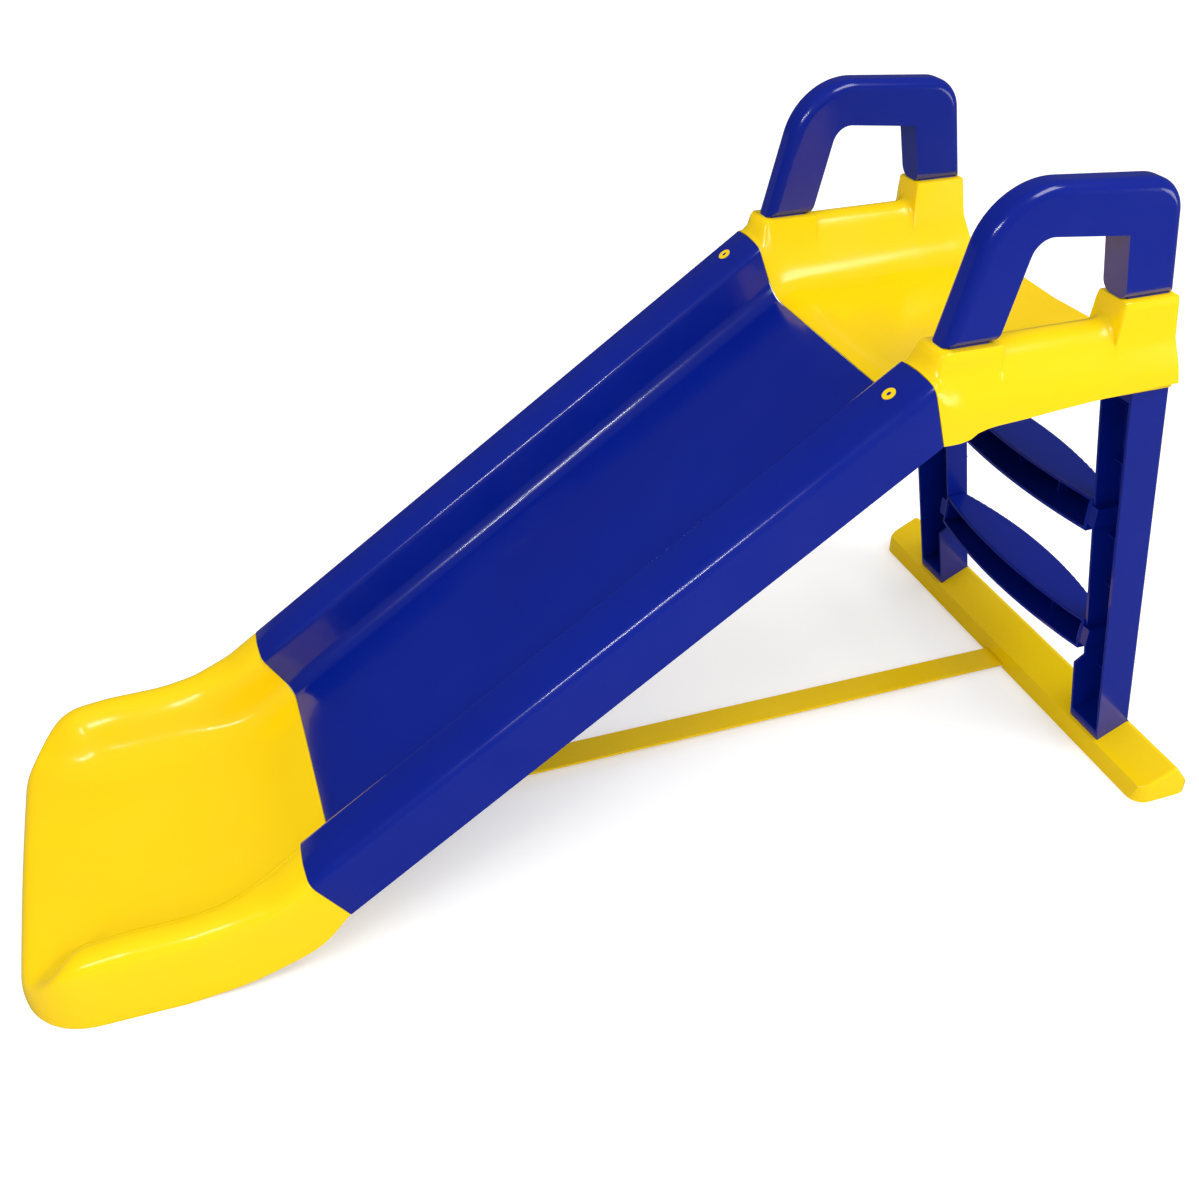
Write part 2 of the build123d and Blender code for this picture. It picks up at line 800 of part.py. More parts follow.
# Sockets of the uprights, open to the front above the base, and of their tenons.
with BuildPart() as foot_cuts:
    add(upright_sleeve)
    box_between((-60, 100, -40), (60, 300, upright_base_z - 0.3), mode=Mode.SUBTRACT)
    box_between(
        (foot_tenon_x[0] - 0.3, foot_tenon_y[0] - 0.3, foot_tenon_z - 0.5),
        (foot_tenon_x[1] + 0.3, foot_tenon_y[1] + 0.3, upright_base_z + 6),
    )
    with Locations((foot_screw_x, foot_screw_y, 0)):
        Cylinder(screw_hole, 40)
    mirror(about=Plane.XZ)

with BuildPart() as ladder_foot:
    add(foot_outer)
    add(foot_inner, mode=Mode.SUBTRACT)
    add(foot_blocks.part)
    add(foot_cuts.part, mode=Mode.SUBTRACT)
    # The tie bar passes under the front wall to its screw.
    box_between(
        (-60, -tie_half_width - 0.5, -1),
        (tie_near_x + 0.5, tie_half_width + 0.5, 6.6),
        mode=Mode.SUBTRACT,
    )
    with Locations((tie_near_screw, 0, 6)):
        Cylinder(screw_hole, 40, mode=Mode.SUBTRACT)
save(ladder_foot, "ladder_foot")

# ---------------------------------------------------------------- tie bar
tie_rise = (tie_high_z - tie_low_z) / (tie_near_x - tie_far_x)


def tie_z(x):
    """Underside of the tie bar at a place along it."""
    return tie_low_z + (tie_near_x - x) * tie_rise


with BuildPart() as tie_bar:
    with BuildSketch(Plane.XZ):
        Polygon(
            (tie_near_x, tie_low_z),
            (tie_near_x, tie_low_z + tie_thick),
            (tie_far_x, tie_high_z + tie_thick),
            (tie_far_x, tie_high_z),
            align=None,
        )
    extrude(amount=tie_half_width, both=True)
    fillet(tie_bar.edges().filter_by(Axis.Z), radius=8)
    with Locations((tie_near_screw, 0, tie_low_z), (tie_far_screw, 0, tie_high_z)):
        Cylinder(screw_hole + 0.4, 20, mode=Mode.SUBTRACT)
save(tie_bar, "tie_bar")

# ---------------------------------------------------------------- fasteners


def screw_group(spots, head_radius, head_thick, reach, shank=screw_radius):
    """Screws at spots, each with its head behind the spot and its shank reaching forward."""
    with BuildPart() as group:
        with Locations(spots):
            Cylinder(head_radius, head_thick, align=(Align.CENTER, Align.CENTER, Align.MAX))
            Cylinder(shank, reach, align=(Align.CENTER, Align.CENTER, Align.MIN))
            with Locations((0, 0, -head_thick)):
                Cylinder(head_radius / 3, head_thick, mode=Mode.SUBTRACT)
    return group


under_tongue = -bed_depth - skin - gap - tongue_thick - 0.2

run_out_screws = screw_group(
    [square_to_chute(a, under_tongue, y) for a, y in foot_screw_spots],
    washer_radius,
    washer_thick,
    4.5,
)
save(run_out_screws, "run_out_screws")

platform_screws = screw_group(
    [square_to_chute(a, under_tongue, y) for a, y in head_screw_spots],
    washer_radius,
    washer_thick,
    4.5,
)
save(platform_screws, "platform_screws")

handle_screws = screw_group(
    [Location((-97.2, side * handle_mid, 632), (0, -90, 0)) for side in (-1, 1)]
    + [Location((front_tenon_x, side * handle_mid, block_base_z - 0.2)) for side in (-1, 1)],
    screw_head,
    2.5,
    17.0,
)
save(handle_screws, "handle_screws")

upright_screws = screw_group(
    [Location((-86.8, side * handle_mid, 575), (0, -90, 0)) for side in (-1, 1)],
    screw_head,
    2.5,
    24.0,
)
save(upright_screws, "upright_screws")

foot_screws = screw_group(
    [Location((foot_screw_x, side * foot_screw_y, 3.8)) for side in (-1, 1)],
    screw_head,
    2.5,
    16.0,
)
save(foot_screws, "foot_screws")

tie_bar_screws = screw_group(
    [
        Location((x, 0, tie_z(x) - 0.1))
        for x in (tie_near_screw, tie_far_screw)
    ],
    screw_head,
    2.2,
    18.0,
)
save(tie_bar_screws, "tie_bar_screws")

chute_lock_bolts = screw_group(
    [square_to_chute(a, 0.1, y) * Location((0, 0, 0), (180, 0, 0)) for a, y in lock_spots],
    lock_head,
    3.0,
    19.0,
    lock_shank,
)
save(chute_lock_bolts, "chute_lock_bolts")

with BuildPart() as chute_lock_nuts:
    for along, y in lock_spots:
        spot = square_to_chute(along, -skin - gap - tongue_thick - 0.3, y)
        with BuildSketch(Plane(spot)):
            RegularPolygon(10, 6)
            Circle(lock_shank + 0.1, mode=Mode.SUBTRACT)
        extrude(amount=-7)
save(chute_lock_nuts, "chute_lock_nuts")
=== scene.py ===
import json
import math

import bmesh
import bpy
from mathutils import Matrix, Vector


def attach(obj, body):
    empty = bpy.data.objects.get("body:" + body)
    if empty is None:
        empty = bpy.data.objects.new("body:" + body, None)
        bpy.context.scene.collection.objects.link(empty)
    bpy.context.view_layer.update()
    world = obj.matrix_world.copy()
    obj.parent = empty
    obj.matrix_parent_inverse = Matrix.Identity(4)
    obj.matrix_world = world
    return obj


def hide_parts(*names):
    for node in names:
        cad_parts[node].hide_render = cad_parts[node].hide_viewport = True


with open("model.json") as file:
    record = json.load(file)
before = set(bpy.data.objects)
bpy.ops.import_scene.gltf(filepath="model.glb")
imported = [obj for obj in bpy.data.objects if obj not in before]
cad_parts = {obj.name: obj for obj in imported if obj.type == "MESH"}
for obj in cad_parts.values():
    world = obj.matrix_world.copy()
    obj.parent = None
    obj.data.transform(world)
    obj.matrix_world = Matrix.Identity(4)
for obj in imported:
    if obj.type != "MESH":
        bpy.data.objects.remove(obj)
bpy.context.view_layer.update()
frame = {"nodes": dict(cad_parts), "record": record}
nodes = frame["nodes"]

# The looks of a toddler's straight slide. Lengths of the meshes are in millimetres: X runs from
# the exit towards the ladder, Y across and Z up, with the floor at 0 and symmetry about Y = 0.
# Lamps and the camera are placed in metres.
YELLOW = "yellow_plastic"
BLUE = "blue_plastic"
STEEL = "screw_steel"


# ------------------------------------------------------------------ materials
# Noise scales, in cycles per metre.
DRIFT_SCALE = 3.0
WEAR_SCALE = 18.0
GRAIN_SCALE = 900.0
WAVE_SCALE = 14.0


def noise(tree, coords, scale, detail):
    """A noise texture in the object's own coordinates."""
    node = tree.nodes.new("ShaderNodeTexNoise")
    node.inputs["Scale"].default_value = scale
    node.inputs["Detail"].default_value = detail
    tree.links.new(coords.outputs["Object"], node.inputs["Vector"])
    return node


def bump(tree, height, strength, distance):
    """A bump of the surface by a noise, distance in metres."""
    node = tree.nodes.new("ShaderNodeBump")
    node.inputs["Strength"].default_value = strength
    node.inputs["Distance"].default_value = distance
    tree.links.new(height.outputs["Fac"], node.inputs["Height"])
    return node


def new_material(name):
    mat = bpy.data.materials.new(name)
    mat.use_nodes = True
    tree = mat.node_tree
    return mat, tree, tree.nodes["Principled BSDF"]


def plastic(name, base, deep, rough, coat):
    """Glossy moulded plastic: its colour drifts, its roughness varies, and it is faintly wavy."""
    mat, tree, shader = new_material(name)
    link = tree.links.new
    coords = tree.nodes.new("ShaderNodeTexCoord")

    drift = noise(tree, coords, DRIFT_SCALE, 3.0)
    ramp = tree.nodes.new("ShaderNodeValToRGB")
    ramp.color_ramp.elements[0].position = 0.3
    ramp.color_ramp.elements[0].color = (*deep, 1)
    ramp.color_ramp.elements[1].position = 0.7
    ramp.color_ramp.elements[1].color = (*base, 1)
    link(drift.outputs["Fac"], ramp.inputs["Fac"])
    link(ramp.outputs["Color"], shader.inputs["Base Color"])

    wear = noise(tree, coords, WEAR_SCALE, 3.0)
    spread = tree.nodes.new("ShaderNodeMapRange")
    spread.inputs["From Min"].default_value = 0.3
    spread.inputs["From Max"].default_value = 0.75
    spread.inputs["To Min"].default_value = rough * 0.85
    spread.inputs["To Max"].default_value = rough * 1.2
    link(wear.outputs["Fac"], spread.inputs["Value"])
    link(spread.outputs["Result"], shader.inputs["Roughness"])

    fine = bump(tree, noise(tree, coords, GRAIN_SCALE, 2.0), 0.04, 0.0002)
    broad = bump(tree, noise(tree, coords, WAVE_SCALE, 1.0), 0.08, 0.002)
    link(fine.outputs["Normal"], broad.inputs["Normal"])
    link(broad.outputs["Normal"], shader.inputs["Normal"])

    shader.inputs["IOR"].default_value = 1.5
    shader.inputs["Coat Weight"].default_value = coat
    shader.inputs["Coat Roughness"].default_value = 0.05
    shader.inputs["Subsurface Weight"].default_value = 0.04
    shader.inputs["Subsurface Radius"].default_value = (0.006, 0.004, 0.002)
    return mat


def steel(name):
    """Zinc-plated screw steel with a fine grain."""
    mat, tree, shader = new_material(name)
    coords = tree.nodes.new("ShaderNodeTexCoord")
    grain = noise(tree, coords, GRAIN_SCALE, 4.0)
    ramp = tree.nodes.new("ShaderNodeValToRGB")
    ramp.color_ramp.elements[0].color = (0.35, 0.36, 0.38, 1)
    ramp.color_ramp.elements[1].color = (0.62, 0.62, 0.64, 1)
    tree.links.new(grain.outputs["Fac"], ramp.inputs["Fac"])
    tree.links.new(ramp.outputs["Color"], shader.inputs["Base Color"])
    rough_grain = bump(tree, grain, 0.15, 0.0001)
    tree.links.new(rough_grain.outputs["Normal"], shader.inputs["Normal"])
    shader.inputs["Metallic"].default_value = 1.0
    shader.inputs["Roughness"].default_value = 0.35
    return mat


looks = {
    YELLOW: plastic("yellow_moulded", (1.0, 0.69, 0.0), (0.99, 0.64, 0.0), 0.2, 0.15),
    BLUE: plastic("blue_moulded", (0.0008, 0.013, 0.27), (0.0006, 0.010, 0.23), 0.18, 0.3),
    STEEL: steel("screw_zinc"),
}
node_slots = {part["node"]: part["material_slot"] for part in frame["record"]["subparts"]}
for name, node in nodes.items():
    node.data.materials.clear()
    node.data.materials.append(looks[node_slots[name]])

# ------------------------------------------------------------------ mesh helpers
MM = 0.001
SKIN = 4.0  # wall of the large mouldings
MERGE = 0.00001  # points closer than this are one, in metres
CAD_MERGE = 0.00002
CAD_FLAT = math.radians(0.6)  # faces this close to level with each other are one


def new_piece(name, verts, faces, slot, replaced, sharp):
    """A piece from points in millimetres, standing for the CAD nodes in replaced."""
    mesh = bpy.data.meshes.new(name)
    bm = bmesh.new()
    made = [bm.verts.new([c * MM for c in v]) for v in verts]
    for face in faces:
        if len({tuple(verts[i]) for i in face}) > 2:
            bm.faces.new([made[i] for i in face])
    bmesh.ops.remove_doubles(bm, verts=bm.verts, dist=MERGE)
    bmesh.ops.recalc_face_normals(bm, faces=bm.faces)
    bm.to_mesh(mesh)
    bm.free()
    return wrap_piece(name, mesh, slot, replaced, sharp)


def wrap_piece(name, mesh, slot, replaced, sharp):
    """The object of a mesh on body root; edges over sharp degrees stay sharp."""
    for face in mesh.polygons:
        face.use_smooth = True
    mesh.set_sharp_from_angle(angle=math.radians(sharp))
    obj = bpy.data.objects.new(name, mesh)
    bpy.context.collection.objects.link(obj)
    mesh.materials.append(looks[slot])
    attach(obj, "root")
    if replaced:
        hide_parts(*replaced)
    return obj


def softened(node, width):
    """A copy of a CAD node with every hard edge rounded off by width, in millimetres."""
    hard_angle = math.radians(28.0)
    source = nodes[node]
    bm = bmesh.new()
    bm.from_mesh(source.data)
    bmesh.ops.remove_doubles(bm, verts=bm.verts, dist=CAD_MERGE)
    bmesh.ops.dissolve_limit(
        bm, angle_limit=CAD_FLAT, verts=bm.verts, edges=bm.edges, use_dissolve_boundaries=False
    )
    hard = [e for e in bm.edges if e.is_manifold and e.calc_face_angle(0.0) > hard_angle]
    bmesh.ops.bevel(
        bm,
        geom=hard,
        offset=width * MM,
        offset_type="OFFSET",
        segments=3,
        profile=0.5,
        affect="EDGES",
        clamp_overlap=True,
        loop_slide=True,
    )
    mesh = bpy.data.meshes.new(node + "_soft")
    bm.to_mesh(mesh)
    bm.free()
    piece = wrap_piece(node + "_soft", mesh, node_slots[node], [node], 50.0)
    # Normals follow the large flat faces, so the narrow roundings don't shade across them.
    level = piece.modifiers.new("level", "WEIGHTED_NORMAL")
    level.keep_sharp = True


def mix(a, b, t):
    """Number at share t of the way from a to b."""
    return a + (b - a) * t


def blend(a, b, t):
    """Point at share t of the way from point a to point b."""
    return tuple(mix(p, q, t) for p, q in zip(a, b))


def smooth(t):
    """Ease from 0 to 1, level at both ends, and held outside them."""
    t = max(0.0, min(1.0, t))
    return t * t * (3 - 2 * t)


def spline(keys, t):
    """Value at t of a smooth curve through (t, value) keys in rising order of t."""
    if t <= keys[0][0]:
        return keys[0][1]
    for i in range(len(keys) - 1):
        (t0, v0), (t1, v1) = keys[i], keys[i + 1]
        if t <= t1:
            before = keys[max(i - 1, 0)]
            after = keys[min(i + 2, len(keys) - 1)]
            m0 = (v1 - before[1]) / max(t1 - before[0], 1e-6)
            m1 = (after[1] - v0) / max(after[0] - t0, 1e-6)
            u = (t - t0) / (t1 - t0)
            d = t1 - t0
            return (
                (2 * u**3 - 3 * u**2 + 1) * v0
                + (u**3 - 2 * u**2 + u) * d * m0
                + (3 * u**2 - 2 * u**3) * v1
                + (u**3 - u**2) * d * m1
            )
    return keys[-1][1]


def rounded(corners, steps):
    """Polyline through (x, y, radius) corners with each one turned into an arc."""
    path = []
    for i, (x, y, r) in enumerate(corners):
        if r == 0 or i in (0, len(corners) - 1):
            path.append((x, y))
            continue
        p = Vector((x, y))
        a = (Vector(corners[i - 1][:2]) - p).normalized()
        b = (Vector(corners[i + 1][:2]) - p).normalized()
        half = a.angle(b) / 2
        cut = r / math.tan(half)
        centre = p + (a + b).normalized() * (r / math.sin(half))
        first, last = p + a * cut - centre, p + b * cut - centre
        sweep = first.angle_signed(last)
        for k in range(steps + 1):
            spin = Matrix.Rotation(-sweep * k / steps, 2)
            path.append(tuple(centre + spin @ first))
    return path


def add_skin(piece, rounding, even):
    """Thickness for a surface, and its edges rounded; even keeps the thickness in corners."""
    skin = piece.modifiers.new("skin", "SOLIDIFY")
    skin.thickness = SKIN * MM
    skin.offset = -1.0
    skin.use_even_offset = even
    edge = piece.modifiers.new("edge", "BEVEL")
    edge.width = rounding * MM
    edge.segments = 3
    edge.limit_method = "ANGLE"
    edge.angle_limit = math.radians(50)
    edge.harden_normals = True


def shell_loop(path, thick):
    """Closed loop: path, then the same path moved thick to its right, backwards."""
    inner = []
    for i, p in enumerate(path):
        a = Vector(path[max(i - 1, 0)])
        b = Vector(path[min(i + 1, len(path) - 1)])
        side = (b - a).normalized()
        inner.append((p[0] + side.y * thick, p[1] - side.x * thick))
    return path + inner[::-1]


def sweep(rows, close_ring=True, caps=True):
    """Faces between equal rows of points; each row is one section."""
    verts = [p for row in rows for p in row]
    n = len(rows[0])
    faces = []
    for r in range(len(rows) - 1):
        for i in range(n if close_ring else n - 1):
            j = (i + 1) % n
            faces.append((r * n + i, r * n + j, (r + 1) * n + j, (r + 1) * n + i))
    if caps:
        half = n // 2
        for base in (0, (len(rows) - 1) * n):
            for i in range(half - 1):
                faces.append((base + i, base + i + 1, base + n - 2 - i, base + n - 1 - i))
    return verts, faces


# ------------------------------------------------------------------ chute
SLOPE = math.radians(34.7)
SIN_S, COS_S = math.sin(SLOPE), math.cos(SLOPE)
CHUTE_FOOT = (-1053.0, 138.3)  # X and Z of the crest line at the run-out joint
CHUTE_LENGTH = 813.7  # along the crest line, joint to joint
HEAD_CUT = math.radians(15.5)  # lean of the platform joint from upright
BED_DEPTH = 58.5  # bed below the crest line
CHUTE_STEPS = 24
CHUTE_EASE = ((0.3, 0.9), (0.55, 0.35), (1.4, 0.0))  # distance from the end, drawn in by


def on_slope(along, y, h):
    """A point so far up the chute from its lower joint, h square to it from the crest line."""
    return (
        CHUTE_FOOT[0] + along * COS_S - h * SIN_S,
        y,
        CHUTE_FOOT[1] + along * SIN_S + h * COS_S,
    )


def head_along(h):
    """Distance up the slope at which the platform joint plane cuts height h."""
    return CHUTE_LENGTH + h * math.sin(SLOPE - HEAD_CUT) / math.cos(SLOPE - HEAD_CUT)


def chute_profile():
    """From the left skirt's hem over the rail, across the bed and back, as (y, h)."""
    half = [
        (0, -BED_DEPTH - 0.6, 0),
        (70, -BED_DEPTH - 0.4, 0),
        (153, -BED_DEPTH, 24),
        (167.5, -0.4, 11),
        (204, 2.6, 60),
        (237, -0.6, 13),
        (240.5, -66, 0),
    ]
    right = rounded(half, 9)
    return [(-y, h) for y, h in right[:0:-1]] + right


def build_chute():
    profile = chute_profile()
    loop = shell_loop(profile, SKIN)
    # The ends are eased over a short length so that the joint lines catch the light.
    eased_ends = []
    for inset, shrink in CHUTE_EASE:
        drawn_in = [shrunk(p, q, r, shrink) for p, q, r in triples(profile)]
        eased_ends.append((inset, shell_loop(drawn_in, SKIN - 2 * shrink)))
    rows = [[on_slope(inset, y, h) for y, h in eased] for inset, eased in eased_ends]
    start = CHUTE_EASE[-1][0]
    for k in range(1, CHUTE_STEPS):
        t = k / CHUTE_STEPS
        rows.append([on_slope(t * (head_along(h) - 3) + (1 - t) * start, y, h) for y, h in loop])
    for inset, eased in eased_ends[::-1]:
        rows.append([on_slope(head_along(h) - inset, y, h) for y, h in eased])
    verts, faces = sweep(rows)
    new_piece("chute_shell", verts, faces, BLUE, ["slide_chute"], 40.0)


def triples(path):
    """Each point of a path with the points before and after it."""
    return [
        (path[i], path[max(i - 1, 0)], path[min(i + 1, len(path) - 1)]) for i in range(len(path))
    ]


def shrunk(p, before, after, amount):
    """p moved amount to the right of its path."""
    side = (Vector(after) - Vector(before)).normalized()
    return (p[0] + side.y * amount, p[1] - side.x * amount)


build_chute()

# ------------------------------------------------------------------ run-out
# Profile points from the hem of the skirt over the rail to the bed: distance from the centre
# plane and height. JOINT is the chute's own section; SOFT is the level part, with its height as
# a share of the rail's; FRONT is the exit lip, with distance measured in from the outline.
JOINT = [
    (240.5, 0.0), (239.6, 0.3), (238.6, 0.6), (237.6, -13.0), (236.3, -6.0), (232.0, -1.6),
    (225.0, 1.1), (204.0, 2.6), (184.0, 1.3), (175.0, -1.4), (169.2, -6.0), (165.6, -12.5),
    (161.0, -26.0), (156.5, 17.0), (151.5, 9.2), (144.0, 3.2), (134.0, 0.6), (120.0, 0.1),
]
SOFT = [
    (231.0, 0.0), (230.2, 0.3), (229.0, 0.6), (227.0, 0.66), (224.5, 0.83), (219.0, 0.945),
    (211.5, 0.995), (203.0, 1.0), (194.0, 0.975), (185.5, 0.88), (178.0, 0.73), (171.5, 0.55),
    (165.5, 0.38), (159.5, 0.255), (153.0, 0.185), (145.0, 0.14), (134.0, 0.10), (117.0, 0.06),
]
FRONT = [
    (0.0, 0.0), (-0.4, 0.3), (-0.3, 0.6), (1.5, 23.5), (4.5, 30.0), (9.5, 34.6),
    (16.0, 37.0), (23.0, 38.2), (30.0, 38.6), (36.0, 38.6), (42.0, 38.4), (48.0, 38.1),
    (54.0, 37.8), (60.0, 37.5), (66.0, 37.2), (72.0, 36.9), (80.0, 36.6), (92.0, 36.3),
]
WALL_TOP = 3  # first profile point above the skirt, which runs down to the hem
CREST = 7  # profile point on top of the rail
JOINT_TOP = 12  # last profile point of JOINT whose height is measured from the crest
JOINT_EDGE = 240.5  # outline at the joint, along the level part and round the corner
SOFT_EDGE = 231.0
CORNER_EDGE = 229.0
BEND_STRAIGHT = 43.0  # from the joint to the start of the bend
BEND_RADIUS = 167.0
BEND_X = -1150.0
LEVEL_Z = 36.0  # bed beyond the bend
EXIT_X = -1367.0
FRONT_BOW = 1.5
CORNER_RADIUS = 78.0
CORNER_X = EXIT_X + CORNER_RADIUS
CORNER_Y = CORNER_EDGE - CORNER_RADIUS
CORNER_ROOM = 45.0  # lean of the last lines across the side rail
CORNER_HOLD = 0.2  # share of the corner that keeps the side's profile
SIDE_STEPS = 26
CORNER_STEPS = 10
FRONT_STEPS = 8
FOOT_Y = 117.0  # the flat bed starts here at the sides, and at GRID_X at the front
GRID_X = -1276.0
GRID_Y = 66.0  # where the front's foot line meets the corner's


def bed_path(s):
    """X, Z and tilt of the bed's centre line, s along it from the joint."""
    start = on_slope(0, 0, -BED_DEPTH)
    if s < BEND_STRAIGHT:
        return start[0] - s * COS_S, start[2] - s * SIN_S, SLOPE
    turned = (s - BEND_STRAIGHT) / BEND_RADIUS
    x0, z0 = start[0] - BEND_STRAIGHT * COS_S, start[2] - BEND_STRAIGHT * SIN_S
    tilt = max(SLOPE - turned, 0.0)
    x = x0 - BEND_RADIUS * (SIN_S - math.sin(tilt))
    z = z0 - BEND_RADIUS * (math.cos(tilt) - COS_S)
    if turned > SLOPE:
        x -= s - BEND_STRAIGHT - BEND_RADIUS * SLOPE
    return x, z, tilt


# Places along the bed's centre line, and heights and outline as (place, value) keys.
S_LEVEL = BEND_STRAIGHT + BEND_RADIUS * SLOPE
S_CORNER = S_LEVEL + (BEND_X - CORNER_X)
S_SOFT = S_LEVEL + 25
RAIL = [
    (0, 58.5), (43, 60.0), (94, 64.0), (S_LEVEL, 61.0), (S_LEVEL + 35, 56.5), (S_LEVEL + 98, 56.5),
    (S_CORNER - 20, 54.5), (S_CORNER, 52.0), (S_CORNER + 20, 47.0), (S_CORNER + 42, 36.0),
    (S_CORNER + 64, 23.5), (S_CORNER + 90, 10.5), (S_CORNER + 123, 2.4),
]
HEM = [
    (0, -7.5), (43, -18.0), (94, -19.5), (S_LEVEL, -28.0), (S_LEVEL + 50, -36.0),
]
OUTLINE = [
    (0, JOINT_EDGE), (60, 239.0), (S_LEVEL, 234.0), (S_LEVEL + 60, SOFT_EDGE),
    (S_CORNER, CORNER_EDGE),
]


def side_height(k, rail, hem, w):
    """Height of profile point k above the bed, w from the joint's section to the soft one."""
    h_j, h_s = JOINT[k][1], SOFT[k][1]
    if k < WALL_TOP:
        top_j, top_s = rail + JOINT[WALL_TOP][1], rail * SOFT[WALL_TOP][1]
        return hem + mix(h_j, h_s, w) * (mix(top_j, top_s, w) - hem)
    joint = rail + h_j if k <= JOINT_TOP else h_j
    return mix(joint, rail * h_s, w)


def side_station(s):
    """Section along the side, square to the bed at s."""
    x0, z0, tilt = bed_path(s)
    w = smooth(s / S_SOFT)
    rail, hem, edge = spline(RAIL, s), spline(HEM, s), spline(OUTLINE, s)
    points = []
    for k in range(len(JOINT)):
        y = mix(JOINT[k][0] - JOINT_EDGE, SOFT[k][0] - SOFT_EDGE, w)
        # The outer wall follows the outline, the bed side keeps its place.
        follow = max(0.0, 1 - k / 12)
        y += follow * edge + (1 - follow) * mix(JOINT_EDGE, SOFT_EDGE, w)
        h = side_height(k, rail, hem, w)
        points.append((x0 - h * math.sin(tilt), y, z0 + h * math.cos(tilt)))
    return points


def round_station(place, inward, rail, w, foot):
    """Section round the corner and along the front: place on the outline, w towards FRONT."""
    points = []
    crest_n = mix(CORNER_EDGE - SOFT[CREST][0], FRONT[CREST][0], w)
    foot_n = mix(CORNER_EDGE - SOFT[-1][0], FRONT[-1][0], w)
    wall_soft = LEVEL_Z + rail * SOFT[WALL_TOP][1]
    wall_front = FRONT[WALL_TOP][1]
    crest_xy = None
    for k in range(len(SOFT)):
        n = mix(SOFT_EDGE - SOFT[k][0], FRONT[k][0], w)
        if k < WALL_TOP:
            z = mix(SOFT[k][1] * wall_soft, FRONT[k][1] * wall_front, w)
        else:
            z = mix(LEVEL_Z + rail * SOFT[k][1], FRONT[k][1], w)
        if k <= CREST:
            xy = (place[0] + inward[0] * n, place[1] + inward[1] * n)
            crest_xy = xy
        else:
            g = (n - crest_n) / (foot_n - crest_n)
            xy = blend(crest_xy, foot, min(max(g, 0.0), 1.0))
        points.append((xy[0], xy[1], z))
    return points


def run_out_stations():
    """Sections from the joint down one side, round the corner and along the front to Y = 0."""
    stations = []
    for i in range(SIDE_STEPS + 1):
        s = S_CORNER * i / SIDE_STEPS
        points = side_station(s)
        if s > S_LEVEL:
            # Lines across the rail lean back so that the corner has room inside.
            back = (s - S_LEVEL) / (S_CORNER - S_LEVEL) * CORNER_ROOM
            inner = len(points) - 1 - CREST
            points = [
                (x + back * smooth((k - CREST) / inner), y, z) for k, (x, y, z) in enumerate(points)
            ]
        stations.append(points)
    last_foot_x = stations[-1][-1][0]
    for i in range(1, CORNER_STEPS + 1):
        t = i / CORNER_STEPS
        phi = math.pi / 2 * t
        place = (
            CORNER_X - CORNER_RADIUS * math.sin(phi),
            CORNER_Y + CORNER_RADIUS * math.cos(phi),
        )
        inward = (math.sin(phi), -math.cos(phi))
        rail = spline(RAIL, S_CORNER + CORNER_RADIUS * phi)
        if t <= 0.5:
            foot = (mix(last_foot_x, GRID_X, t * 2), FOOT_Y)
        else:
            foot = (GRID_X, mix(FOOT_Y, GRID_Y, t * 2 - 1))
        w = smooth((t - CORNER_HOLD) / (1 - CORNER_HOLD))
        stations.append(round_station(place, inward, rail, w, foot))
    for i in range(1, FRONT_STEPS + 1):
        t = i / FRONT_STEPS
        place = (EXIT_X - FRONT_BOW * math.sin(math.pi / 2 * t), CORNER_Y * (1 - t))
        stations.append(round_station(place, (1, 0), RAIL[-1][1], 1.0, (GRID_X, GRID_Y * (1 - t))))
    return stations


def build_run_out():
    stations = run_out_stations()
    corner_index = SIDE_STEPS + CORNER_STEPS // 2
    mirrored = [[(x, -y, z) for x, y, z in row] for row in stations[-2::-1]]
    ring = stations + mirrored
    verts, faces = sweep(ring, close_ring=False, caps=False)
    # The bed inside the ring is a grid between the feet of the sections.
    k = len(JOINT)
    rows_side = corner_index + 1
    columns = [ring[i][-1] for i in range(corner_index, len(ring) - corner_index)]
    width = len(columns)
    index = {}
    for r in range(rows_side):
        left = r * k + k - 1
        right = (len(ring) - 1 - r) * k + k - 1
        edge = ring[r][-1]
        for c in range(width):
            if c == 0:
                index[r, c] = left
            elif c == width - 1:
                index[r, c] = right
            elif r == rows_side - 1:
                index[r, c] = (corner_index + c) * k + k - 1
            else:
                y = columns[c][1]
                drop = 1 - (y / edge[1]) ** 2
                near = r / (rows_side - 1)
                base_x, base_z, tilt = bed_path(S_CORNER * min(r / SIDE_STEPS, 1.0))
                low = base_z if r <= SIDE_STEPS else LEVEL_Z
                z = edge[2] - (edge[2] - low) * drop * (1 - near**6)
                bent = r <= SIDE_STEPS and tilt > 0
                x = mix(edge[0], base_x, drop) if bent else edge[0]
                index[r, c] = len(verts)
                verts.append((x, y, z))
    for r in range(rows_side - 1):
        for c in range(width - 1):
            faces.append((index[r, c], index[r + 1, c], index[r + 1, c + 1], index[r, c + 1]))
    piece = new_piece("run_out_shell", verts, faces, YELLOW, ["run_out"], 60.0)
    add_skin(piece, 1.1, even=True)
    fine = piece.modifiers.new("fine", "SUBSURF")
    fine.levels = 1
    fine.render_levels = 1


build_run_out()

